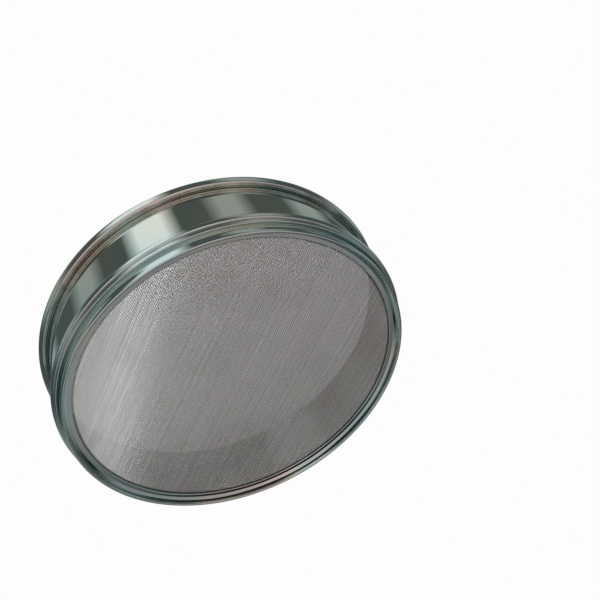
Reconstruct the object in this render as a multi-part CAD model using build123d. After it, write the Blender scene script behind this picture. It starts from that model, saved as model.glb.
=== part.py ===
from build123d import *
import os
from math import asin, cos, degrees, radians, sin

# Laboratory soil sieve, 200 mm size. Millimetres, +Z up along the sieve's axis.
# The origin is the centre of the circle that the bottom lip stands on.

# ---- all sheet metal ----
SHEET = 0.7

# ---- body: a strip rolled to a ring, with its top edge curled over a wire ----
BORE_RADIUS = 100.0         # inside of the wall, which takes the skirt of the sieve above
TOTAL_HEIGHT = 49.0
RIM_ROLL_RADIUS = 2.7       # outside of the curl
RIM_ROLL_TURN = 312.0       # degrees of curl, which ends just short of the wall
RIM_WIRE_SLACK = 0.05       # between the stiffening wire and the curl around it
RIM_GAP_WIDTH = 0.4         # where the two ends of the curl meet
RIM_GAP_ANGLE = -37.0       # degrees about Z, from +X
BEAD_RADIUS = 2.0           # outside of the stop bead, swaged out above the skirt
BEAD_REACH = 102.6          # largest radius of the stop bead
BEAD_HEIGHT = 11.0
BEND_RADIUS = 0.8           # of the sheet's middle, where the bead runs into wall and neck
HEM_RADIUS = 0.9            # outside of the small curl on the body's lower edge
HEM_HEIGHT = 7.5            # on the skirt's middle, where the curl starts
HEM_TURN = 250.0            # degrees of curl, which is open towards the bead

# ---- skirt: the lower ring, which nests in the rim of the sieve below ----
SKIRT_RADIUS = 99.0
SKIRT_TOP = 9.15            # of the sheet's middle, before its round edge
FLARE = 15.0                # degrees that the skirt's upper edge opens, so the neck around it grips
FLARE_FOOT = 5.8
FLARE_BEND_RADIUS = 1.0
LIP_RADIUS = 1.1            # outside of the rounded lip that the sieve stands on
LIP_RISE = 2.1              # straight run from the lip up to the flange
CONE_BEND = 60.0            # degrees, from straight up to the conical part of the flange
CONE_BEND_RADIUS = 0.5
CONE_LENGTH = 1.6
LEDGE_BEND = 30.0           # degrees, from the cone to the flat ledge
LEDGE_BEND_RADIUS = 0.6
OPENING_RADIUS = 92.6       # the free opening that the cloth covers

# ---- cloth and what holds it ----
CLOTH_THICKNESS = 0.7
CLOTH_MARGIN = 0.1          # between the skirt and the outer edges of cloth and clamp ring
CLAMP_THICKNESS = 1.0
CLAMP_INNER_RADIUS = 92.9
CLAMP_ROUND = 0.4
CLOTH_SOLDER_LEG = 1.5
BODY_SOLDER_RISE = 0.8      # how far the upper solder climbs the wall past the bead

HALF_SHEET = SHEET / 2
WALL_MIDDLE = BORE_RADIUS + HALF_SHEET
SKIRT_MIDDLE = SKIRT_RADIUS - HALF_SHEET
SKIRT_INNER = SKIRT_RADIUS - SHEET
SEAT_RADIUS = SKIRT_INNER - CLOTH_MARGIN
RIM_ROLL_HEIGHT = TOTAL_HEIGHT - RIM_ROLL_RADIUS
RIM_ROLL_CENTRE = BORE_RADIUS + RIM_ROLL_RADIUS
RIM_BEND = RIM_ROLL_RADIUS - HALF_SHEET
HEM_BEND = HEM_RADIUS - HALF_SHEET
LIP_BEND = LIP_RADIUS - HALF_SHEET

# The skirt's flare: where its middle runs straight again, which way it runs, and its outside.
FLARE_UP = Vector(sin(radians(FLARE)), cos(radians(FLARE)))
FLARE_OUT = Vector(cos(radians(FLARE)), -sin(radians(FLARE)))
FLARE_START = Vector(SKIRT_MIDDLE + FLARE_BEND_RADIUS, FLARE_FOOT) - FLARE_OUT * FLARE_BEND_RADIUS

# The bead is a circle of the sheet's middle that the bends above and below it touch.
BEAD_BEND = BEAD_RADIUS - HALF_SHEET
BEAD_CENTRE = Vector(BEAD_REACH - BEAD_RADIUS, BEAD_HEIGHT)
BEND_SPAN = BEAD_BEND + BEND_RADIUS
WALL_LEAN = degrees(asin((WALL_MIDDLE + BEND_RADIUS - BEAD_CENTRE.X) / BEND_SPAN))
WALL_BOTTOM = BEAD_HEIGHT + BEND_SPAN * cos(radians(WALL_LEAN))


def on_flare(height):
    """Point of the skirt's middle at a height above the flare's bend."""
    return FLARE_START + FLARE_UP * ((height - FLARE_START.Y) / FLARE_UP.Y)


def bent_strip(start, heading, moves):
    """Section of a bent strip, drawn as (radius, height) from its middle. heading is in degrees from outward.
    Each move is (length,) for a straight run, or (bend radius of the sheet's middle, degrees)
    for a bend, left turns positive. Gives the section and the point where its middle ends."""
    point = start
    edges = []
    for move in moves:
        direction = Vector(cos(radians(heading)), sin(radians(heading)))
        if len(move) == 1:
            edges.append(Line(point, point + direction * move[0]))
        else:
            edges.append(JernArc(point, direction, *move))
            heading += move[1]
        point = edges[-1] @ 1
    return Face(Wire(edges).offset_2d(HALF_SHEET, side=Side.BOTH)), point


def ring(section):
    """The solid that a section of radius and height sweeps about the sieve's axis."""
    return revolve(Plane.XZ * section, Axis.Z)


def body_shell():
    """Wall with the curled rim, the stop bead, the neck that grips the skirt, and its hem."""
    hem_foot = on_flare(HEM_HEIGHT) + FLARE_OUT * SHEET
    to_bead = BEAD_CENTRE - hem_foot - FLARE_OUT * BEND_RADIUS
    neck_lean = degrees(asin(to_bead.dot(FLARE_OUT) / BEND_SPAN))
    neck_length = to_bead.dot(FLARE_UP) - BEND_SPAN * cos(radians(neck_lean))
    hem, _ = bent_strip(hem_foot, -90.0 - FLARE, [(HEM_BEND, HEM_TURN)])
    wall, _ = bent_strip(
        hem_foot,
        90.0 - FLARE,
        [
            (neck_length,),
            (BEND_RADIUS, -(90.0 + neck_lean)),
            (BEAD_BEND, 180.0 + FLARE + neck_lean - WALL_LEAN),
            (BEND_RADIUS, -(90.0 - WALL_LEAN)),
            (RIM_ROLL_HEIGHT - WALL_BOTTOM,),
            (RIM_BEND, -RIM_ROLL_TURN),
        ],
    )
    shell = ring(hem) + ring(wall)
    gap = Box(
        2 * RIM_ROLL_RADIUS,
        RIM_GAP_WIDTH,
        3 * RIM_ROLL_RADIUS,
        align=(Align.MIN, Align.CENTER, Align.CENTER),
    )
    gap_start = BORE_RADIUS + 2 * SHEET
    return shell - Rot(0, 0, RIM_GAP_ANGLE) * Pos(gap_start, 0, RIM_ROLL_HEIGHT) * gap


def rim_wire():
    """Round wire that stiffens the curled rim from inside."""
    radius = RIM_ROLL_RADIUS - SHEET - RIM_WIRE_SLACK
    return ring(Pos(RIM_ROLL_CENTRE, RIM_ROLL_HEIGHT) * Circle(radius))


def skirt_ring():
    """Spigot with its flared upper edge, the rounded lip and the flange that the cloth lies on,
    and the height of the flange's flat ledge."""
    top = on_flare(SKIRT_TOP)
    down = -90.0 - FLARE
    bends = [
        ((top - FLARE_START).length,),
        (FLARE_BEND_RADIUS, FLARE),
        (FLARE_FOOT - LIP_RADIUS,),
        (LIP_BEND, -180.0),
        (LIP_RISE,),
        (CONE_BEND_RADIUS, CONE_BEND),
        (CONE_LENGTH,),
        (LEDGE_BEND_RADIUS, LEDGE_BEND),
    ]
    _, ledge_start = bent_strip(top, down, bends)
    ledge = ledge_start.X - OPENING_RADIUS - HALF_SHEET
    section, _ = bent_strip(top, down, bends + [(ledge,)])
    return ring(section), ledge_start.Y + HALF_SHEET


def sieve_cloth(bottom):
    """Wire cloth, stretched flat over the ledge."""
    return Pos(0, 0, bottom) * extrude(Circle(SEAT_RADIUS), CLOTH_THICKNESS)


def clamp_ring(bottom):
    """Flat ring pressed on the cloth's border, with its inner edges rounded."""
    width = SEAT_RADIUS - CLAMP_INNER_RADIUS
    bar = Rectangle(width, CLAMP_THICKNESS, align=Align.MIN)
    bar = Pos(CLAMP_INNER_RADIUS, bottom) * fillet(bar.vertices().group_by(Axis.X)[0], CLAMP_ROUND)
    return ring(bar)


def cloth_solder(bottom):
    """Fillet of solder between the clamp ring and the flared skirt."""
    skirt_face = on_flare(bottom) - FLARE_OUT * HALF_SHEET
    corner = skirt_face + FLARE_UP * ((bottom - skirt_face.Y) / FLARE_UP.Y)
    inner = corner - Vector(CLOTH_SOLDER_LEG, 0)
    top = corner + FLARE_UP * (CLOTH_SOLDER_LEG / FLARE_UP.Y)
    return ring(Face(Wire.make_polygon([corner, top, inner])))


def body_solder():
    """Solder that closes the stop bead's hollow, from the skirt's edge up to the wall."""
    crest = on_flare(SKIRT_TOP) + FLARE_UP * HALF_SHEET
    inner = crest - FLARE_OUT * HALF_SHEET
    outer = crest + FLARE_OUT * HALF_SHEET
    bend = Vector(BORE_RADIUS, WALL_BOTTOM)
    top = Vector(BORE_RADIUS, WALL_BOTTOM + BODY_SOLDER_RISE)
    return ring(Face(Wire.make_polygon([inner, outer, bend, top])))


skirt, cloth_bottom = skirt_ring()
clamp_bottom = cloth_bottom + CLOTH_THICKNESS
solder_bottom = clamp_bottom + CLAMP_THICKNESS
nodes = {
    "body_shell": body_shell(),
    "rim_wire": rim_wire(),
    "skirt_ring": skirt,
    "sieve_cloth": sieve_cloth(cloth_bottom),
    "clamp_ring": clamp_ring(clamp_bottom),
    "cloth_solder": cloth_solder(solder_bottom),
    "body_solder": body_solder(),
}

os.makedirs("parts", exist_ok=True)
for name, solid in nodes.items():
    export_step(solid, f"parts/{name}.step")
print(f"cloth from z {cloth_bottom:.3f}, clamp from {clamp_bottom:.3f}")
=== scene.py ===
import math

import bpy
import numpy as np
from mathutils import Matrix, Vector


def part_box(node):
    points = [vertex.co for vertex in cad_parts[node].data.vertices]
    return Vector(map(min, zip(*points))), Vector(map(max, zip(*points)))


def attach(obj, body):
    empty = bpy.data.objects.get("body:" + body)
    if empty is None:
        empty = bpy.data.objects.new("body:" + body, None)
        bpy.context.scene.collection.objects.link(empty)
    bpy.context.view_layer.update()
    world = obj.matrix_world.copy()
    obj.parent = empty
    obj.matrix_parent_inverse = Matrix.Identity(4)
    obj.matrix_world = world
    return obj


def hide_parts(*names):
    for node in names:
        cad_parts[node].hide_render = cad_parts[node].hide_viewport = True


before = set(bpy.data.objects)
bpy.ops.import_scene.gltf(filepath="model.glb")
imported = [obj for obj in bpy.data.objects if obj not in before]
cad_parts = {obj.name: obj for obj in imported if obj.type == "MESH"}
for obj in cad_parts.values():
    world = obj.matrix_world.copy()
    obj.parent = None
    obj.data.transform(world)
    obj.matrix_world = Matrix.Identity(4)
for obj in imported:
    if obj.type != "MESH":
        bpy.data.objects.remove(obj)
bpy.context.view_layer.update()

MM = 0.001
SEED = 20

# ---- sizes that the frame gives, in metres ----
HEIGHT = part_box("body_shell")[1].z
RIM_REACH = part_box("rim_wire")[1].x
CLOTH_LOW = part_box("sieve_cloth")[0].z
CLOTH_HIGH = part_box("sieve_cloth")[1].z
SEAT_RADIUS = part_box("sieve_cloth")[1].x
CLAMP_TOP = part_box("clamp_ring")[1].z
CLOTH_SOLDER_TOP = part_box("cloth_solder")[1].z
BODY_SOLDER_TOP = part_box("body_solder")[1].z
CLOTH_SOLDER_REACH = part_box("cloth_solder")[1].x
BORE_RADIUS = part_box("body_solder")[1].x

# ---- bends of the sheet metal ----
SHEET = 0.7 * MM
HALF_SHEET = SHEET / 2
RIM_ROLL_RADIUS = 2.7 * MM
RIM_ROLL_TURN = 312.0
RIM_WIRE_SLACK = 0.05 * MM
RIM_GAP_WIDTH = 0.12 * MM    # what solder and polish leave open
RIM_GAP_ANGLE = -37.0
BEAD_RADIUS = 2.0 * MM
BEAD_REACH = 102.6 * MM
BEAD_HEIGHT = 11.0 * MM
BEND_RADIUS = 0.8 * MM
HEM_RADIUS = 0.9 * MM
HEM_HEIGHT = 7.5 * MM
HEM_TURN = 250.0
SKIRT_RADIUS = 99.0 * MM
SKIRT_TOP = 9.15 * MM
FLARE = 15.0
FLARE_FOOT = 5.8 * MM
FLARE_BEND_RADIUS = 1.0 * MM
LIP_RADIUS = 1.1 * MM
LIP_RISE = 2.1 * MM
CONE_BEND = 60.0
CONE_BEND_RADIUS = 0.5 * MM
CONE_LENGTH = 1.6 * MM
LEDGE_BEND = 30.0
LEDGE_BEND_RADIUS = 0.6 * MM
OPENING_RADIUS = 92.6 * MM
CLAMP_INNER_RADIUS = 92.9 * MM
CLAMP_ROUND = 0.4 * MM

# ---- the skirt's flare: which way it runs, its outside, and the upper end of its bend ----
FLARE_UP = Vector((math.sin(math.radians(FLARE)), math.cos(math.radians(FLARE))))
FLARE_OUT = Vector((math.cos(math.radians(FLARE)), -math.sin(math.radians(FLARE))))
FLARE_BEND_CENTRE = Vector((SKIRT_RADIUS - HALF_SHEET + FLARE_BEND_RADIUS, FLARE_FOOT))
FLARE_START = FLARE_BEND_CENTRE - FLARE_OUT * FLARE_BEND_RADIUS

# ---- solder ----
CLOTH_SOLDER_HOLLOW = 0.3 * MM
BODY_SOLDER_HOLLOW = 0.12 * MM
BODY_SOLDER_RISE = 0.8 * MM     # how far the upper solder climbs the wall past the bead
SOLDER_FACE_STEPS = 12
SOLDER_SWELL = 0.9              # largest unevenness of a solder's face, as a share of its hollow
SOLDER_LEAN = 0.8               # how much the unevenness slants across the face

# ---- wire cloth ----
WIRE = (CLOTH_HIGH - CLOTH_LOW) / 2
PITCH = 0.7 * MM
WIRE_BREADTH = 0.80     # of its thickness, from a wire's middle to the sides of its flattened section
WIRE_DEPTH = 0.45       # the same, to the top and bottom of it
STREAKS_ALONG = 3.0     # noise cells to a metre, along the streaks in the cloth
STREAKS_ACROSS = 480.0  # and across them
WARP_CRIMP = 0.7        # share of the weave's waviness in the wires along X; the rest is along Y
WIRE_UNEVENNESS = 0.004     # spread of a wire's thickness, as a share of it
WIRE_WANDER = 0.003         # spread of a wire's place, as a share of the pitch
WIRE_SLACK = 0.005          # spread of a wire's waviness, as a share of it

# ---- how finely the turned pieces are made ----
SEGMENTS = 320
ARC_STEP = 9.0
SHARP_ANGLE = 50.0
CAP_STEPS = 4           # steps round the cut edge of the sheet
CORNER_STEPS = 5        # steps round a corner of the clamp ring
SUPPORT = 0.25 * MM     # rings this close to each end of a straight run keep its shading straight

# ---- view ----
CAMERA_AZIMUTH = -43.0
CAMERA_ELEVATION = -43.9
CAMERA_DISTANCE = 0.3866
CAMERA_AIM = Vector((0.0604, 0.0054, 0.0))
CAMERA_ROLL = 33.27
LENS = 40.8

# ---- studio ----
ROOM_LIGHT = 0.09
GAP_LIGHT = 0.02        # the dark gap between the pale ground and the feet of the soft boxes
GROUND_LIGHT = 0.64
GLINT_BAND = -0.064     # Y of the band that glints in the cloth
GLINT_DIRECTION = (-0.35, 0.347, -0.87)     # from the band's middle to the strip lamp
GLINT_LENGTH = 2.2
GLINT_WIDTH = 0.07
GLINT_POWER = 2.8
GLINT_COLOUR = (0.90, 1.0, 1.0)
KEY_BEARING = -15.0     # degrees round from the camera, where the brightest soft box stands
KEY_HALF_WIDTH = 10.0
BOX_STEP = 60           # degrees between soft boxes
BOX_HALF_WIDTH = 6.0
BOX_EDGE = 12.0         # degrees over which a soft box fades out
KEY_BRIGHTNESS = 0.8
BOX_BRIGHTNESS = 0.25   # of each of the others
GROUND_FALL = 0.45      # the ground's light on the side away from the key, as a share of GROUND_LIGHT
GROUND_TOP = (-0.72, -0.60)     # sine of the elevation over which the ground fades into the dark gap
BOX_FEET = (-0.58, -0.48)       # and over which the soft boxes start above it
KEY_PLACE, KEY_SIZE, KEY_POWER = (0.5, -0.6, 0.9), 0.8, 1.2         # the two lamps that light the floor
FILL_PLACE, FILL_SIZE, FILL_POWER = (-0.8, 0.3, 0.8), 1.0, 0.8
FLOOR_HALF = 15.0


# ---------------------------------------------------------------- mesh helpers

def mesh_object(name, points, faces, material):
    """A mesh object from an array of points and a list of arrays of faces, each of one size."""
    mesh = bpy.data.meshes.new(name)
    sizes = np.concatenate([np.full(len(f), f.shape[1]) for f in faces])
    loops = np.concatenate([f.reshape(-1) for f in faces])
    mesh.vertices.add(len(points))
    mesh.vertices.foreach_set("co", np.asarray(points, np.float32).reshape(-1))
    mesh.loops.add(len(loops))
    mesh.loops.foreach_set("vertex_index", loops.astype(np.int32))
    mesh.polygons.add(len(sizes))
    starts = np.concatenate([[0], np.cumsum(sizes)[:-1]])
    mesh.polygons.foreach_set("loop_start", starts.astype(np.int32))
    mesh.polygons.foreach_set("use_smooth", np.ones(len(sizes), bool))
    mesh.update(calc_edges=True)
    mesh.validate()
    mesh.materials.append(material)
    piece = bpy.data.objects.new(name, mesh)
    bpy.context.scene.collection.objects.link(piece)
    return piece


def turned(angle):
    """Cosine and sine of an angle in degrees."""
    return math.cos(math.radians(angle)), math.sin(math.radians(angle))


def on_flare(height):
    """Point of the skirt's middle line at a height above the flare's bend."""
    return FLARE_START + FLARE_UP * ((height - FLARE_START.y) / FLARE_UP.y)


def bent_line(start, heading, moves):
    """Middle line of a bent strip as rows of (radius, height, heading). Each move is (length,)
    for a straight run, or (radius, degrees) for a bend, left turns positive."""
    r, z = start
    rows = [(r, z, heading)]
    for move in moves:
        if len(move) == 1:
            c, s = turned(heading)
            support = min(SUPPORT, move[0] / 3)
            for along in (support, move[0] - support, move[0]):
                rows.append((r + c * along, z + s * along, heading))
        else:
            radius, turn = move
            side = math.copysign(1.0, turn)
            c, s = turned(heading)
            centre_r, centre_z = r - s * radius * side, z + c * radius * side
            steps = max(3, math.ceil(abs(turn) / ARC_STEP))
            for k in range(1, steps + 1):
                h = heading + turn * k / steps
                c, s = turned(h)
                rows.append((centre_r + s * radius * side, centre_z - c * radius * side, h))
            heading += turn
        r, z, _ = rows[-1]
    return rows


def strip_loop(rows):
    """Closed outline of a strip of sheet around its middle line, with round edges: the left side,
    the end cap, the right side backwards and the start cap."""
    left, right = [], []
    for r, z, heading in rows:
        c, s = turned(heading)
        left.append((r - s * HALF_SHEET, z + c * HALF_SHEET))
        right.append((r + s * HALF_SHEET, z - c * HALF_SHEET))

    def cap(r, z, heading):
        for k in range(1, CAP_STEPS):
            c, s = turned(heading - 180.0 * k / CAP_STEPS)
            yield r - s * HALF_SHEET, z + c * HALF_SHEET

    end = list(cap(*rows[-1]))
    r, z, heading = rows[0]
    start = list(cap(r, z, heading + 180.0))
    return left + end + right[::-1] + start


def lathe(name, loop, material, gap_from=None):
    """A ring turned from a closed outline of (radius, height). gap_from gives the first and the last
    point of the part of the outline that the rim's butt gap cuts."""
    outline = np.array(loop)
    count = len(outline)
    half_gap = math.degrees(RIM_GAP_WIDTH / 2 / RIM_REACH) if gap_from else 0.0
    span = 360.0 - 2 * half_gap
    steps = SEGMENTS + 1 if gap_from else SEGMENTS
    angles = np.radians(RIM_GAP_ANGLE + half_gap + span * np.arange(steps) / SEGMENTS)
    points = np.stack(
        [
            np.outer(np.cos(angles), outline[:, 0]),
            np.outer(np.sin(angles), outline[:, 0]),
            np.tile(outline[:, 1], (steps, 1)),
        ],
        axis=-1,
    ).reshape(-1, 3)
    here = np.arange(count)
    after = (here + 1) % count

    def band(ring, following, keep):
        a, b = ring * count, following * count
        return np.stack([a + here, b + here, b + after, a + after], axis=1)[keep]

    everything = np.ones(count, bool)
    bands = [band(k, (k + 1) % steps, everything) for k in range(SEGMENTS)]
    faces = [np.concatenate(bands)]
    if gap_from:
        first, last = gap_from
        rolled = (here >= first) & (here < last)
        last_ring = steps - 1
        faces.append(band(last_ring, 0, ~rolled))
        cut = np.arange(first, last + 1)
        faces.append(cut[None, :])
        faces.append((last_ring * count + cut[::-1])[None, :])
        bridge = [last_ring * count + first, first, last, last_ring * count + last]
        faces.append(np.array([bridge]))
    piece = mesh_object(name, points, faces, material)
    piece.data.set_sharp_from_angle(angle=math.radians(SHARP_ANGLE))
    return piece


def rounded(corners, radii):
    """Outline with each corner rounded by its own radius, counter-clockwise."""
    loop = []
    count = len(corners)
    for k, radius in enumerate(radii):
        corner = Vector(corners[k])
        back = (Vector(corners[k - 1]) - corner).normalized()
        on = (Vector(corners[(k + 1) % count]) - corner).normalized()
        half = back.angle(on) / 2
        centre = corner + (back + on).normalized() * radius / math.sin(half)
        start = corner + back * radius / math.tan(half)
        end = corner + on * radius / math.tan(half)
        turn = (start - centre).angle_signed(end - centre)
        for j in range(CORNER_STEPS + 1):
            arm = start - centre
            arm.rotate(Matrix.Rotation(-turn * j / CORNER_STEPS, 2))
            loop.append(tuple(centre + arm))
    return loop


# ---------------------------------------------------------------- material helpers

class Tree:
    """Short way to add and join shader nodes. An input is a value, or the socket that feeds it."""

    def __init__(self, tree):
        self.tree = tree
        self.tree.nodes.clear()

    def add(self, kind, inputs=None, **settings):
        node = self.tree.nodes.new(kind)
        for key, value in settings.items():
            setattr(node, key, value)
        for key, value in (inputs or {}).items():
            socket = node.inputs[key]
            if isinstance(value, bpy.types.NodeSocket):
                self.tree.links.new(value, socket)
            else:
                socket.default_value = value
        return node

    def math(self, operation, a, b=0.0, c=0.0):
        return self.add("ShaderNodeMath", {0: a, 1: b, 2: c}, operation=operation).outputs[0]

    def mix(self, factor, a, b):
        # The colour sockets of a Mix node are inputs 6 and 7 and output 2.
        return self.add("ShaderNodeMix", {0: factor, 6: a, 7: b}, data_type="RGBA").outputs[2]

    def remap(self, value, low, high, to_low, to_high):
        inputs = {
            "Value": value,
            "From Min": low,
            "From Max": high,
            "To Min": to_low,
            "To Max": to_high,
        }
        return self.add("ShaderNodeMapRange", inputs).outputs[0]

    def noise(self, vector, scale, detail=3.0, roughness=0.5):
        """Noise of about this many cells to a unit of the vector, which is a metre unless it is stretched."""
        inputs = {"Vector": vector, "Scale": scale, "Detail": detail, "Roughness": roughness}
        return self.add("ShaderNodeTexNoise", inputs).outputs["Fac"]

    def ramp(self, value, stops):
        node = self.add("ShaderNodeValToRGB", {"Fac": value})
        ramp = node.color_ramp
        ramp.elements[0].position, ramp.elements[0].color = stops[0]
        ramp.elements[1].position, ramp.elements[1].color = stops[-1]
        for position, colour in stops[1:-1]:
            ramp.elements.new(position).color = colour
        return node.outputs[0]


def new_material(name):
    """A material with an empty node tree, and that tree."""
    material = bpy.data.materials.new(name)
    material.use_nodes = True
    return material, Tree(material.node_tree)


def finish_metal(t, base, roughness, metallic=1.0, bump=None):
    """Metal surface of a tree. bump is its height, strength and distance."""
    inputs = {"Base Color": base, "Metallic": metallic, "Roughness": roughness}
    if bump:
        height, strength, distance = bump
        uneven = t.add("ShaderNodeBump", {"Strength": strength, "Distance": distance, "Height": height})
        inputs["Normal"] = uneven.outputs[0]
    shader = t.add("ShaderNodeBsdfPrincipled", inputs)
    t.add("ShaderNodeOutputMaterial", {"Surface": shader.outputs[0]})


def colour(red, green, blue):
    """An opaque colour, in linear light."""
    return (red, green, blue, 1.0)


# The plate's own colours, what lies in its scratches, and the brown of its grooves: dried residue with
# painted shade.
PLATE_BLUE = colour(0.57, 0.73, 0.73)
PLATE_PLAIN = colour(0.66, 0.76, 0.73)
PLATE_STRAW = colour(0.78, 0.78, 0.70)
PLATE_PINK = colour(0.80, 0.71, 0.75)
SCRATCHED = colour(0.45, 0.46, 0.46)
GROOVE_RESIDUE_AND_SHADE = colour(0.10, 0.085, 0.06)

# Wire, clamp ring and solder.
DRAWN_LIGHT = colour(0.45, 0.45, 0.44)
DRAWN_DARK = colour(0.28, 0.26, 0.24)
CLOTH_GREY = colour(0.80, 0.765, 0.75)
CLOTH_BRIGHT = colour(0.97, 0.93, 0.915)
CLOTH_BLOOM = colour(0.58, 0.55, 0.52)
CLOTH_EDGE_SHADE = colour(0.07, 0.065, 0.055)
CLAMP_PLAIN = colour(0.60, 0.60, 0.58)
CLAMP_TARNISH = colour(0.42, 0.39, 0.34)
TIN_BRIGHT = colour(0.62, 0.62, 0.60)
TIN_FROSTED = colour(0.46, 0.46, 0.45)
FLUX = colour(0.22, 0.17, 0.10)

# Roughness at the least smeared spots of the plate, and of the wires in dull and in bright streaks.
BODY_ROUGHNESS = 0.012
SKIRT_ROUGHNESS = 0.015
WARP_ROUGHNESS = (0.36, 0.30)
WEFT_ROUGHNESS = (0.20, 0.10)

# Noise cells to a metre in the marks of spinning and polishing, around the axis and across them.
MARKS_AROUND = 14.0
MARKS_ACROSS = 1500.0
MARKS_LEAN = 0.8        # how far the marks' levels shift with the radius, so that flat faces show rings too


def ring_coordinates(t):
    """Object coordinates, the radius, the height, and coordinates in which the marks of spinning
    and polishing run around the axis."""
    place = t.add("ShaderNodeTexCoord").outputs["Object"]
    axes = t.add("ShaderNodeSeparateXYZ", {0: place})
    x, y, z = axes.outputs
    radius = t.math("SQRT", t.math("ADD", t.math("MULTIPLY", x, x), t.math("MULTIPLY", y, y)))
    across = t.math("ADD", z, t.math("MULTIPLY", radius, MARKS_LEAN))
    stretched = {
        0: t.math("MULTIPLY", x, MARKS_AROUND),
        1: t.math("MULTIPLY", y, MARKS_AROUND),
        2: t.math("MULTIPLY", across, MARKS_ACROSS),
    }
    around = t.add("ShaderNodeCombineXYZ", stretched).outputs[0]
    return place, radius, z, around


def polished_steel(name, roughness, grooves):
    """Bright passivated plate over spun steel, faintly bluish with straw and pink patches: fine
    rings from polishing, hairline scratches, smears, and dark brown bands at the grooves, given as
    (height, half width), which are partly residue where water dries and partly painted shade in the grooves'
    hollows."""
    material, t = new_material(name)
    place, radius, z, around = ring_coordinates(t)
    rings = t.noise(around, 1.0, 4.0, 0.6)
    smear = t.noise(place, 38.0, 4.0, 0.62)
    cloud = t.noise(place, 11.0, 2.0)
    scratch_field = t.add(
        "ShaderNodeTexVoronoi", {"Vector": place, "Scale": 55.0}, feature="DISTANCE_TO_EDGE"
    ).outputs["Distance"]
    hairline = t.remap(scratch_field, 0.0, 0.012, 1.0, 0.0)
    hairline = t.math("MULTIPLY", hairline, t.remap(t.noise(place, 160.0), 0.55, 0.68, 0.0, 1.0))
    # Painted shade with residue: the grooves are darkened towards brown, partly as dried residue and partly
    # as the shade that falls in them.
    residue_and_shade = 0.0
    for height, reach in grooves:
        away = t.math("ABSOLUTE", t.math("SUBTRACT", z, height))
        here = t.remap(away, reach * 0.35, reach, 1.0, 0.0)
        residue_and_shade = t.math("MAXIMUM", residue_and_shade, here)
    outside = t.remap(radius, BORE_RADIUS + HALF_SHEET, BORE_RADIUS + SHEET, 0.25, 1.0)
    patchy = t.remap(t.noise(place, 60.0, 4.0, 0.6), 0.35, 0.65, 0.15, 0.75)
    residue_and_shade = t.math("MULTIPLY", t.math("MULTIPLY", residue_and_shade, outside), patchy)
    base = t.ramp(cloud, [(0.40, PLATE_BLUE), (0.54, PLATE_PLAIN), (0.62, PLATE_STRAW), (0.72, PLATE_PINK)])
    base = t.mix(t.math("MULTIPLY", hairline, 0.25), base, SCRATCHED)
    base = t.mix(residue_and_shade, base, GROOVE_RESIDUE_AND_SHADE)
    smeared = t.remap(smear, 0.3, 0.75, roughness, roughness * 2.4)
    rough = t.math("ADD", smeared, t.math("MULTIPLY", rings, 0.03))
    rough = t.math("ADD", rough, t.math("MULTIPLY", hairline, 0.2))
    rough = t.math("ADD", rough, t.math("MULTIPLY", residue_and_shade, 0.3))
    height = t.math("ADD", t.math("MULTIPLY", rings, 0.35), t.math("MULTIPLY", cloud, 6.0))
    height = t.math("SUBTRACT", height, t.math("MULTIPLY", hairline, 0.3))
    finish_metal(t, base, rough, bump=(height, 0.35, 0.02 * MM))
    return material


def drawn_wire(name):
    """Drawn steel wire, with fine grain and a patchy oxide tone."""
    material, t = new_material(name)
    place = t.add("ShaderNodeTexCoord").outputs["Object"]
    tone = t.noise(place, 24.0, 3.0)
    grain = t.noise(place, 900.0, 2.0)
    base = t.mix(t.remap(tone, 0.35, 0.65, 0.0, 1.0), DRAWN_LIGHT, DRAWN_DARK)
    base = t.mix(t.remap(grain, 0.3, 0.7, 0.0, 0.25), base, DRAWN_DARK)
    finish_metal(t, base, t.remap(grain, 0.3, 0.7, 0.35, 0.47))
    return material


def woven_steel(name, dull, bright):
    """Wire cloth, with fine straight streaks of tone and gloss along X in both sets of wires, as
    in cloth whose wires along X differ a little from one to the next. Over that lies a faint bloom
    from washing, and painted shade darkens the cloth in a thin ring along the ledge. dull and bright are the
    roughness in the dull and the bright streaks."""
    material, t = new_material(name)
    place = t.add("ShaderNodeTexCoord").outputs["Object"]
    stretch = (STREAKS_ALONG, STREAKS_ACROSS, 0.0)
    along_x = t.add("ShaderNodeVectorMath", {0: place, 1: stretch}, operation="MULTIPLY").outputs[0]
    streak = t.noise(along_x, 1.0, 4.0, 0.7)
    bloom = t.noise(place, 26.0, 3.0, 0.55)
    base = t.mix(t.remap(streak, 0.35, 0.65, 0.0, 1.0), CLOTH_GREY, CLOTH_BRIGHT)
    base = t.mix(t.remap(bloom, 0.5, 0.75, 0.0, 0.3), base, CLOTH_BLOOM)
    radius = t.add("ShaderNodeVectorMath", {0: place}, operation="LENGTH").outputs["Value"]
    # Painted shade: a dark ring on the cloth just inside the ledge, where the ledge shades it.
    border = t.remap(radius, OPENING_RADIUS - 1.0 * MM, OPENING_RADIUS - 0.2 * MM, 0.0, 0.75)
    base = t.mix(border, base, CLOTH_EDGE_SHADE)
    finish_metal(t, base, t.remap(streak, 0.35, 0.65, dull, bright))
    return material


def satin_steel(name):
    """Plain steel ring, with the fine rings of the turning tool and light tarnish."""
    material, t = new_material(name)
    place, _, _, around = ring_coordinates(t)
    rings = t.noise(around, 2.2, 5.0, 0.65)
    tarnish = t.noise(place, 60.0, 5.0, 0.6)
    base = t.mix(t.remap(tarnish, 0.4, 0.7, 0.0, 1.0), CLAMP_PLAIN, CLAMP_TARNISH)
    rough = t.math("ADD", t.remap(rings, 0.2, 0.8, 0.22, 0.4), t.math("MULTIPLY", tarnish, 0.1))
    finish_metal(t, base, rough, bump=(rings, 0.5, 0.02 * MM))
    return material


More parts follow.
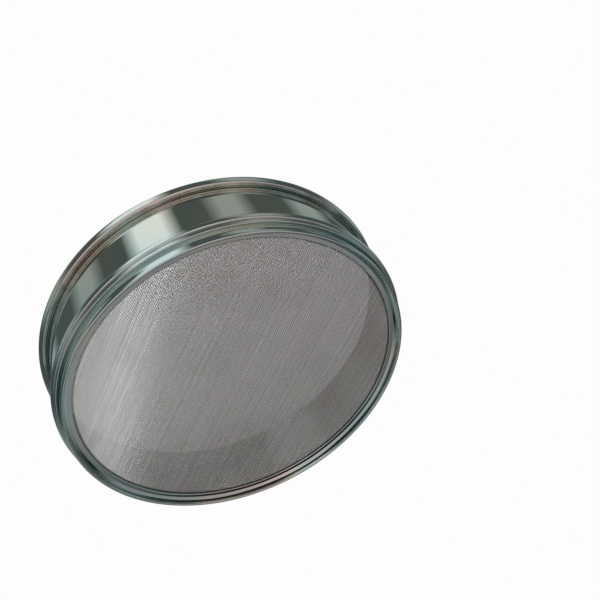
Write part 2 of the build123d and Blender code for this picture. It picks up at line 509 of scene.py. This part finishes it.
def tin_solder(name):
    """Dull tin solder: frosted in places, and darker in patches where flux was left."""
    material, t = new_material(name)
    place = t.add("ShaderNodeTexCoord").outputs["Object"]
    frost = t.noise(place, 420.0, 6.0, 0.7)
    flux = t.noise(place, 70.0, 4.0, 0.6)
    base = t.mix(t.remap(frost, 0.35, 0.65, 0.0, 1.0), TIN_BRIGHT, TIN_FROSTED)
    base = t.mix(t.remap(flux, 0.55, 0.72, 0.0, 0.7), base, FLUX)
    rough = t.remap(frost, 0.3, 0.7, 0.28, 0.55)
    finish_metal(t, base, rough, metallic=0.9, bump=(frost, 0.6, 0.08 * MM))
    return material


# ---------------------------------------------------------------- the sieve's pieces

def groove_heights():
    """Heights of the grooves round the outside: under the hem, under and over the bead, and
    under the rolled rim."""
    return [
        (FLARE_FOOT + 0.3 * MM, 0.4 * MM),
        (BEAD_HEIGHT - BEAD_RADIUS - 0.3 * MM, 0.6 * MM),
        (BEAD_HEIGHT + BEAD_RADIUS + 0.35 * MM, 0.5 * MM),
        (HEIGHT - 2 * RIM_ROLL_RADIUS - 0.1 * MM, 0.5 * MM),
    ]


def body_shell(material):
    """Wall with the curled rim, the stop bead, the neck that grips the skirt, and its hem."""
    wall_middle = BORE_RADIUS + HALF_SHEET
    roll_height = HEIGHT - RIM_ROLL_RADIUS
    bead_bend = BEAD_RADIUS - HALF_SHEET
    bead_centre = Vector((BEAD_REACH - BEAD_RADIUS, BEAD_HEIGHT))
    span = bead_bend + BEND_RADIUS
    wall_lean = math.degrees(math.asin((wall_middle + BEND_RADIUS - bead_centre.x) / span))
    wall_bottom = BEAD_HEIGHT + span * math.cos(math.radians(wall_lean))
    foot = on_flare(HEM_HEIGHT) + FLARE_OUT * SHEET
    to_bead = bead_centre - foot - FLARE_OUT * BEND_RADIUS
    neck_lean = math.degrees(math.asin(to_bead.dot(FLARE_OUT) / span))
    neck_length = to_bead.dot(FLARE_UP) - span * math.cos(math.radians(neck_lean))
    hem = bent_line(foot, -90.0 - FLARE, [(HEM_RADIUS - HALF_SHEET, HEM_TURN)])
    hem = [(r, z, heading + 180.0) for r, z, heading in reversed(hem)]
    wall = bent_line(
        foot,
        90.0 - FLARE,
        [
            (neck_length,),
            (BEND_RADIUS, -(90.0 + neck_lean)),
            (bead_bend, 180.0 + FLARE + neck_lean - wall_lean),
            (BEND_RADIUS, -(90.0 - wall_lean)),
            (roll_height - wall_bottom,),
            (RIM_ROLL_RADIUS - HALF_SHEET, -RIM_ROLL_TURN),
        ],
    )
    rows = hem[:-1] + wall
    loop = strip_loop(rows)
    cut_radius = BORE_RADIUS + 2 * SHEET
    foot_of_roll = roll_height - RIM_ROLL_RADIUS
    first = next(k for k, (r, z, _) in enumerate(rows) if z > foot_of_roll and r > cut_radius)
    # The right side runs backwards after the points of the end cap.
    last = 2 * len(rows) + CAP_STEPS - 2 - first
    return lathe("body_shell_turned", loop, material, (first, last))


def skirt_ring(material):
    """Spigot with its flared upper edge, the rounded lip and the flange that the cloth lies on."""
    start = on_flare(SKIRT_TOP)
    bends = [
        ((start - FLARE_START).length,),
        (FLARE_BEND_RADIUS, FLARE),
        (FLARE_FOOT - LIP_RADIUS,),
        (LIP_RADIUS - HALF_SHEET, -180.0),
        (LIP_RISE,),
        (CONE_BEND_RADIUS, CONE_BEND),
        (CONE_LENGTH,),
        (LEDGE_BEND_RADIUS, LEDGE_BEND),
    ]
    down = -90.0 - FLARE
    ledge_start = bent_line(start, down, bends)[-1]
    ledge = ledge_start[0] - OPENING_RADIUS - HALF_SHEET
    rows = bent_line(start, down, bends + [(ledge,)])
    return lathe("skirt_ring_turned", strip_loop(rows), material)


def rim_wire(material):
    """Round wire inside the curled rim, seen only in the rim's butt gap."""
    radius = RIM_ROLL_RADIUS - SHEET - RIM_WIRE_SLACK
    centre = (BORE_RADIUS + RIM_ROLL_RADIUS, HEIGHT - RIM_ROLL_RADIUS)
    sides = 28
    loop = []
    for k in range(sides):
        c, s = turned(360.0 * k / sides)
        loop.append((centre[0] + radius * c, centre[1] + radius * s))
    return lathe("rim_wire_turned", loop, material)


def clamp_ring(material):
    """Flat ring pressed on the cloth's border."""
    corners = [
        (CLAMP_INNER_RADIUS, CLOTH_HIGH),
        (SEAT_RADIUS, CLOTH_HIGH),
        (SEAT_RADIUS, CLAMP_TOP),
        (CLAMP_INNER_RADIUS, CLAMP_TOP),
    ]
    edge = 0.12 * MM
    return lathe("clamp_ring_turned", rounded(corners, [CLAMP_ROUND, edge, edge, CLAMP_ROUND]), material)


def solder_ring(name, inner, top, back, hollow, material, generator):
    """A run of solder with a hollow face from inner to top, uneven as a hand-made run is."""
    inner, top = Vector(inner), Vector(top)
    across = top - inner
    inward = Vector((across.y, -across.x)).normalized()
    face = []
    for k in range(SOLDER_FACE_STEPS + 1):
        share = k / SOLDER_FACE_STEPS
        face.append(tuple(inner + across * share + inward * hollow * 4 * share * (1 - share)))
    loop = list(back) + face[::-1]
    piece = lathe(name, loop, material)
    coords = np.zeros(len(piece.data.vertices) * 3, np.float32)
    piece.data.vertices.foreach_get("co", coords)
    coords = coords.reshape(-1, 3)
    angle = np.arctan2(coords[:, 1], coords[:, 0])
    radius = np.hypot(coords[:, 0], coords[:, 1])
    share_round_loop = np.concatenate([np.zeros(len(back)), np.linspace(1, 0, SOLDER_FACE_STEPS + 1)])
    share = np.tile(share_round_loop, len(coords) // len(loop))
    swell = np.zeros(len(coords))
    for waves in range(3, 46, 3):
        phase, lean = generator.uniform(0, 2 * math.pi, 2)
        wave = np.sin(waves * angle + phase + SOLDER_LEAN * lean * share)
        swell += generator.normal() * wave / math.sqrt(waves)
    swell = np.tanh(swell / 2) * hollow * SOLDER_SWELL * 4 * share * (1 - share)
    radius = radius + swell * inward.x
    coords[:, 0] = radius * np.cos(angle)
    coords[:, 1] = radius * np.sin(angle)
    coords[:, 2] += swell * inward.y
    piece.data.vertices.foreach_set("co", coords.reshape(-1))
    piece.data.update()
    return piece


def wires(name, across_x, first, last, material, generator):
    """Woven wires side by side, from one place across the sieve to another. Each passes over and
    under the crossing wires in turn, and lies a little off its place as real wires do."""
    middle = (CLOTH_LOW + CLOTH_HIGH) / 2
    reach = SEAT_RADIUS - PITCH / 2
    crimp = WARP_CRIMP if across_x else 1 - WARP_CRIMP
    low, high = math.ceil(first / PITCH), math.floor(last / PITCH)
    points, quads, ends = [], [], []
    total = 0
    for j in range(low, high):
        offset = (j + 0.5) * PITCH
        if abs(offset) >= reach:
            continue
        half = int(math.sqrt(reach**2 - offset**2) / PITCH)
        if half < 2:
            continue
        i = np.arange(-half, half)
        along = (i + 0.5) * PITCH
        sign = np.where((i + j) % 2 == 0, 1.0, -1.0) * (1.0 if across_x else -1.0)
        thickness = WIRE * (1 + generator.normal() * WIRE_UNEVENNESS)
        wander = generator.normal() * WIRE_WANDER * PITCH
        slack = generator.normal() * WIRE_SLACK
        height = middle + sign * WIRE * crimp * (1 + slack)
        corners = []
        for corner in (90.0, 210.0, 330.0):
            c, s = turned(corner)
            side = np.full(len(i), offset + wander + c * thickness * WIRE_BREADTH)
            up = height + s * thickness * WIRE_DEPTH
            corners.append(np.stack([along, side, up] if across_x else [side, along, up], axis=1))
        tube = np.stack(corners, axis=1).reshape(-1, 3)
        n = len(i)
        ring = total + np.arange(n - 1)[:, None] * 3
        for k in range(3):
            m = (k + 1) % 3
            a, b, c, d = ring + k, ring + m, ring + 3 + m, ring + 3 + k
            quads.append(np.hstack([a, b, c, d] if across_x else [a, d, c, b]))
        start = [total, total + 1, total + 2]
        stop = [total + 3 * n - 1, total + 3 * n - 2, total + 3 * n - 3]
        ends += [start[::-1], stop[::-1]] if across_x else [start, stop]
        points.append(tube)
        total += 3 * n
    faces = [np.concatenate(quads), np.array(ends)]
    return mesh_object(name, np.concatenate(points), faces, material)


generator = np.random.default_rng(SEED)
chrome_body = polished_steel("polished_body", BODY_ROUGHNESS, groove_heights())
chrome_skirt = polished_steel("polished_skirt", SKIRT_ROUGHNESS, groove_heights()[:1])
wire_steel = drawn_wire("rim_wire_steel")
warp_steel = woven_steel("warp_steel", *WARP_ROUGHNESS)
weft_steel = woven_steel("weft_steel", *WEFT_ROUGHNESS)
clamp_steel = satin_steel("clamp_steel")
solder = tin_solder("tin_solder")

shell = body_shell(chrome_body)
skirt = skirt_ring(chrome_skirt)
rim = rim_wire(wire_steel)
clamp = clamp_ring(clamp_steel)
solder_leg = CLOTH_SOLDER_TOP - CLAMP_TOP
solder_corner = CLOTH_SOLDER_REACH - solder_leg * FLARE_UP.x / FLARE_UP.y
cloth_run = solder_ring(
    "cloth_solder_run",
    (solder_corner - solder_leg, CLAMP_TOP),
    (CLOTH_SOLDER_REACH, CLOTH_SOLDER_TOP),
    [(solder_corner, CLAMP_TOP)],
    CLOTH_SOLDER_HOLLOW,
    solder,
    generator,
)
crest = on_flare(SKIRT_TOP) + FLARE_UP * HALF_SHEET
body_run = solder_ring(
    "body_solder_run",
    crest - FLARE_OUT * HALF_SHEET,
    (BORE_RADIUS, BODY_SOLDER_TOP),
    [crest + FLARE_OUT * HALF_SHEET, (BORE_RADIUS, BODY_SOLDER_TOP - BODY_SOLDER_RISE)],
    BODY_SOLDER_HOLLOW,
    solder,
    generator,
)
warp = [
    wires("cloth_warp_back", True, -SEAT_RADIUS, 0.0, warp_steel, generator),
    wires("cloth_warp_front", True, 0.0, SEAT_RADIUS, warp_steel, generator),
]
weft = [
    wires("cloth_weft_left", False, -SEAT_RADIUS, 0.0, weft_steel, generator),
    wires("cloth_weft_right", False, 0.0, SEAT_RADIUS, weft_steel, generator),
]

for piece, node, slot in (
    (shell, "body_shell", "polished_body"),
    (skirt, "skirt_ring", "polished_skirt"),
    (rim, "rim_wire", "rim_wire"),
    (clamp, "clamp_ring", "clamp_steel"),
    (cloth_run, "cloth_solder", "solder"),
    (body_run, "body_solder", "solder"),
):
    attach(piece, "root")
    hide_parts(node)
for piece in warp + weft:
    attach(piece, "root")
    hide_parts("sieve_cloth")


# ---------------------------------------------------------------- floor, light and camera

DIM_ROOM = colour(0.84, 1.0, 0.93)
SOFT_BOX_WHITE = colour(0.97, 1.0, 1.0)
GROUND_PINK = colour(1.0, 0.86, 0.89)
BACKDROP = colour(0.98, 0.98, 0.98)
FLOOR_PALE = colour(0.90, 0.90, 0.89)
FLOOR_SPECKLE = colour(0.88, 0.88, 0.87)


def floor():
    """Pale floor at the sieve's foot. It shows from above only: the view from below the sieve
    looks through it, as through a glass table."""
    points = [(x * FLOOR_HALF, y * FLOOR_HALF, 0.0) for x, y in ((-1, -1), (1, -1), (1, 1), (-1, 1))]
    material, t = new_material("floor")
    place = t.add("ShaderNodeTexCoord").outputs["Object"]
    speckle = t.noise(place, 35.0, 4.0)
    tone = t.mix(t.remap(speckle, 0.3, 0.7, 0.0, 1.0), FLOOR_PALE, FLOOR_SPECKLE)
    top = t.add("ShaderNodeBsdfDiffuse", {"Color": tone}).outputs[0]
    clear = t.add("ShaderNodeBsdfTransparent").outputs[0]
    behind = t.add("ShaderNodeNewGeometry").outputs["Backfacing"]
    shader = t.add("ShaderNodeMixShader", {0: behind, 1: top, 2: clear})
    t.add("ShaderNodeOutputMaterial", {"Surface": shader.outputs[0]})
    plane = mesh_object("floor", points, [np.array([[0, 1, 2, 3]])], material)
    plane.visible_shadow = False
    plane.visible_glossy = False
    plane.visible_transmission = False


def studio():
    """Plain studio. The camera and the floor see a pale backdrop. Polished metal sees a dim room
    over a pale ground, with soft boxes standing round the sieve at even steps from the key."""
    world = bpy.data.worlds.new("studio")
    bpy.context.scene.world = world
    world.use_nodes = True
    t = Tree(world.node_tree)
    direction = t.add("ShaderNodeTexCoord").outputs["Generated"]
    x, y, z = t.add("ShaderNodeSeparateXYZ", {0: direction}).outputs
    bearing = t.math("MULTIPLY", t.math("ARCTAN2", y, x), 180.0 / math.pi)
    key = CAMERA_AZIMUTH + KEY_BEARING
    towards_key = t.math("COSINE", t.math("RADIANS", t.math("SUBTRACT", bearing, key)))
    ground = t.remap(towards_key, -1.0, 1.0, GROUND_FALL * GROUND_LIGHT, GROUND_LIGHT)
    over_ground = t.remap(z, *GROUND_TOP, 0.0, 1.0)
    standing = t.remap(z, *BOX_FEET, 0.0, 1.0)
    room = t.remap(standing, 0.0, 1.0, GAP_LIGHT, ROOM_LIGHT)
    light = t.remap(over_ground, 0.0, 1.0, ground, room)
    for turn in range(0, 360, BOX_STEP):
        brightness = BOX_BRIGHTNESS if turn else KEY_BRIGHTNESS
        half_width = BOX_HALF_WIDTH if turn else KEY_HALF_WIDTH
        off_centre = t.math("SUBTRACT", bearing, key + turn)
        away = t.math("ABSOLUTE", t.math("WRAP", off_centre, 180.0, -180.0))
        box = t.remap(away, half_width, half_width + BOX_EDGE, brightness, 0.0)
        light = t.math("ADD", light, t.math("MULTIPLY", box, standing))
    room_tone = t.mix(t.remap(light, 0.0, 0.6, 0.0, 1.0), DIM_ROOM, SOFT_BOX_WHITE)
    tone = t.mix(over_ground, GROUND_PINK, room_tone)
    reflected = t.add("ShaderNodeBackground", {"Color": tone, "Strength": light}).outputs[0]
    pale = t.add("ShaderNodeBackground", {"Color": BACKDROP, "Strength": 1.0}).outputs[0]
    path = t.add("ShaderNodeLightPath").outputs
    backdrop = t.math("MAXIMUM", path["Is Camera Ray"], path["Is Diffuse Ray"])
    shader = t.add("ShaderNodeMixShader", {0: backdrop, 1: reflected, 2: pale})
    t.add("ShaderNodeOutputWorld", {"Surface": shader.outputs[0]})


def soft_lamp(name, place, size, power):
    """Round soft lamp aimed at the sieve, which polished metal doesn't mirror."""
    data = bpy.data.lights.new(name, "AREA")
    data.shape = "DISK"
    data.size = size
    data.energy = power
    lamp = bpy.data.objects.new(name, data)
    lamp.location = place
    lamp.rotation_euler = (-Vector(place)).to_track_quat("-Z", "Y").to_euler()
    lamp.visible_glossy = False
    lamp.visible_camera = False
    bpy.context.scene.collection.objects.link(lamp)


def glint_strip(cloth):
    """Low strip light for the cloth alone, because a floor would hide it from the walls. Straight
    wires mirror a lamp in a cone about themselves, so a strip that lies along that cone glints
    from the wires along Y in one band across the cloth."""
    away = Vector(GLINT_DIRECTION).normalized()
    along = Vector((0, 1, 0)).cross(away).normalized()
    data = bpy.data.lights.new("glint", "AREA")
    data.shape = "RECTANGLE"
    data.size, data.size_y = GLINT_LENGTH, GLINT_WIDTH
    data.energy = GLINT_POWER
    data.color = GLINT_COLOUR
    lamp = bpy.data.objects.new("glint", data)
    turn = Matrix((along, away.cross(along), away)).transposed().to_4x4()
    lamp.matrix_world = Matrix.Translation(Vector((0, GLINT_BAND, 0)) + away) @ turn
    lamp.visible_camera = False
    bpy.context.scene.collection.objects.link(lamp)
    lit = bpy.data.collections.new("lit_by_glint")
    for piece in cloth:
        lit.objects.link(piece)
    lamp.light_linking.receiver_collection = lit


def camera():
    """Camera at the photograph's viewing angle, below the sieve and rolled to one side."""
    c, s = turned(CAMERA_AZIMUTH)
    level, rise = turned(CAMERA_ELEVATION)
    place = CAMERA_DISTANCE * Vector((c * level, s * level, rise))
    forward = (CAMERA_AIM - place).normalized()
    upright = (Vector((0, 0, 1)) - forward * forward.z).normalized()
    up = Matrix.Rotation(math.radians(CAMERA_ROLL), 3, forward) @ upright
    right = forward.cross(up)
    data = bpy.data.cameras.new("camera")
    data.lens = LENS
    data.sensor_width = 36.0
    data.clip_start = 0.01
    eye = bpy.data.objects.new("camera", data)
    turn = Matrix((right, up, -forward)).transposed().to_4x4()
    eye.matrix_world = Matrix.Translation(place) @ turn
    bpy.context.scene.collection.objects.link(eye)
    bpy.context.scene.camera = eye


floor()
studio()
soft_lamp("key", KEY_PLACE, KEY_SIZE, KEY_POWER)
soft_lamp("fill", FILL_PLACE, FILL_SIZE, FILL_POWER)
glint_strip(warp + weft)
camera()
bpy.context.scene.view_settings.view_transform = "Standard"
